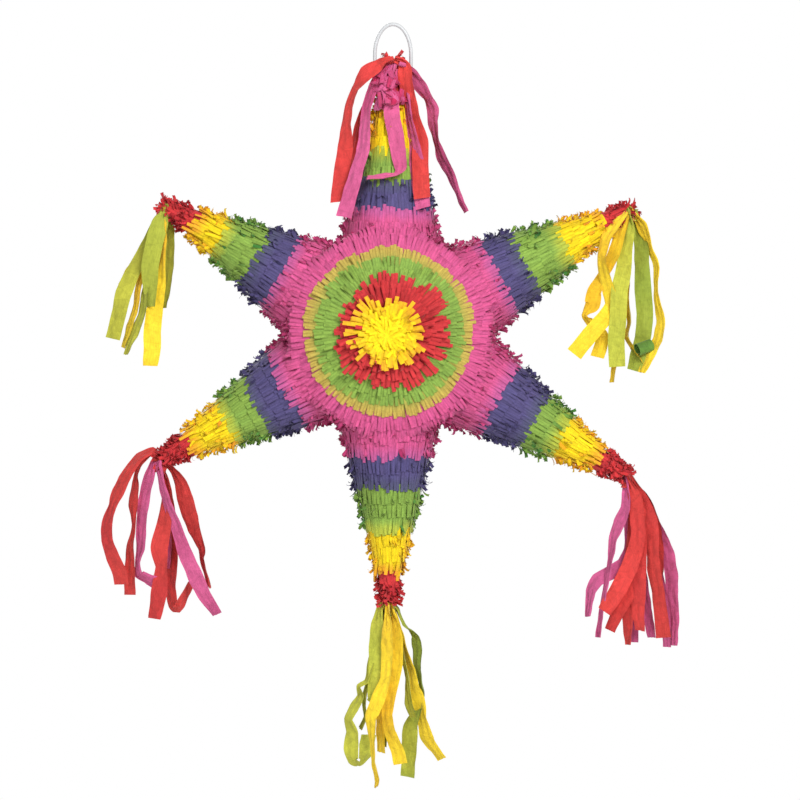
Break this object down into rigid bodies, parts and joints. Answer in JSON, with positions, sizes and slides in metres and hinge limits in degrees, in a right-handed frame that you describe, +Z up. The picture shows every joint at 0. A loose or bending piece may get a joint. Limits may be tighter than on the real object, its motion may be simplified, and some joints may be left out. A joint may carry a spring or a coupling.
{
  "type": "star pinata",
  "caption": "Hollow card star with cones and a round middle, covered in coloured tissue fringe, with streamer tassels, a fill flap and a hanging loop.",
  "frame": {"origin": "inner top of the hanging loop, where the rope or hook bears", "axes": "+Z up, -Y towards the star's domed front face, +X to the right as seen from the front"},
  "size_m": [0.5967, 0.1474, 0.7833],
  "materials": {
    "tissue_pink": "matte crepe tissue",
    "tissue_purple": "matte crepe tissue",
    "tissue_green": "matte crepe tissue",
    "tissue_yellow": "matte crepe tissue",
    "tissue_red": "matte crepe tissue",
    "card": "matte",
    "plug_card": "matte, rolled",
    "loop_plastic": "semi-gloss, milky white"
  },
  "bodies": {
    "loop": {"hanging_loop": "loop_plastic"},
    "star": {"back_fringe": "tissue_green", "bottom_cone": "card", "bottom_green_fringe": "tissue_green", "bottom_pink_fringe": "tissue_pink", "bottom_purple_fringe": "tissue_purple", "bottom_red_fringe": "tissue_red", "bottom_yellow_fringe": "tissue_yellow", "drum_back_face": "card", "drum_front_face": "card", "drum_pink_fringe": "tissue_pink", "drum_side_wall": "card", "loop_anchor_plug": "plug_card", "lower_left_cone": "card", "lower_left_green_fringe": "tissue_green", "lower_left_pink_fringe": "tissue_pink", "lower_left_purple_fringe": "tissue_purple", "lower_left_red_fringe": "tissue_red", "lower_left_yellow_fringe": "tissue_yellow", "lower_right_cone": "card", "lower_right_green_fringe": "tissue_green", "lower_right_pink_fringe": "tissue_pink", "lower_right_purple_fringe": "tissue_purple", "lower_right_red_fringe": "tissue_red", "lower_right_yellow_fringe": "tissue_yellow", "rosette_green_ring": "tissue_green", "rosette_red_ring": "tissue_red", "rosette_yellow_ring": "tissue_yellow", "top_cone": "card", "top_green_fringe": "tissue_green", "top_pink_fringe": "tissue_pink", "top_purple_fringe": "tissue_purple", "top_red_fringe": "tissue_red", "top_tassel_pink": "tissue_pink", "top_tassel_red": "tissue_red", "top_yellow_fringe": "tissue_yellow", "upper_left_cone": "card", "upper_left_green_fringe": "tissue_green", "upper_left_pink_fringe": "tissue_pink", "upper_left_purple_fringe": "tissue_purple", "upper_left_red_fringe": "tissue_red", "upper_left_yellow_fringe": "tissue_yellow", "upper_right_cone": "card", "upper_right_green_fringe": "tissue_green", "upper_right_pink_fringe": "tissue_pink", "upper_right_purple_fringe": "tissue_purple", "upper_right_red_fringe": "tissue_red", "upper_right_yellow_fringe": "tissue_yellow"},
    "upper_left_tassel": {"upper_left_tassel_green": "tissue_green", "upper_left_tassel_yellow": "tissue_yellow"},
    "upper_right_tassel": {"upper_right_tassel_green": "tissue_green", "upper_right_tassel_yellow": "tissue_yellow"},
    "lower_left_tassel": {"lower_left_tassel_pink": "tissue_pink", "lower_left_tassel_red": "tissue_red"},
    "lower_right_tassel": {"lower_right_tassel_pink": "tissue_pink", "lower_right_tassel_red": "tissue_red"},
    "bottom_tassel": {"bottom_tassel_green": "tissue_green", "bottom_tassel_yellow": "tissue_yellow"},
    "flap": {"fill_flap": "card", "flap_fringe": "tissue_green"}
  },
  "joints": [
    {"name": "star_swing", "type": "hinge", "parent": "loop", "child": "star", "pos_m": [0, 0, -0.054], "axis": [1, 0, 0], "range_deg": [-25, 60]},
    {"name": "upper_left_tassel_swing", "type": "hinge", "parent": "star", "child": "upper_left_tassel", "pos_m": [-0.23552, 0, -0.18502], "axis": [0, 1, 0], "range_deg": [-5, 45]},
    {"name": "upper_right_tassel_swing", "type": "hinge", "parent": "star", "child": "upper_right_tassel", "pos_m": [0.24548, 0, -0.18888], "axis": [0, 1, 0], "range_deg": [-45, 4]},
    {"name": "lower_left_tassel_swing", "type": "hinge", "parent": "star", "child": "lower_left_tassel", "pos_m": [-0.24015, 0, -0.4469], "axis": [0, 1, 0], "range_deg": [-15, 45]},
    {"name": "lower_right_tassel_swing", "type": "hinge", "parent": "star", "child": "lower_right_tassel", "pos_m": [0.24115, 0, -0.4633], "axis": [0, 1, 0], "range_deg": [-45, 15]},
    {"name": "bottom_tassel_swing", "type": "hinge", "parent": "star", "child": "bottom_tassel", "pos_m": [-0.004, 0, -0.596], "axis": [0, 1, 0], "range_deg": [-45, 45]},
    {"name": "flap_lift", "type": "hinge", "parent": "star", "child": "flap", "pos_m": [-0.004, 0.066, -0.2776], "axis": [1, 0, 0], "range_deg": [0, 110]}
  ]
}
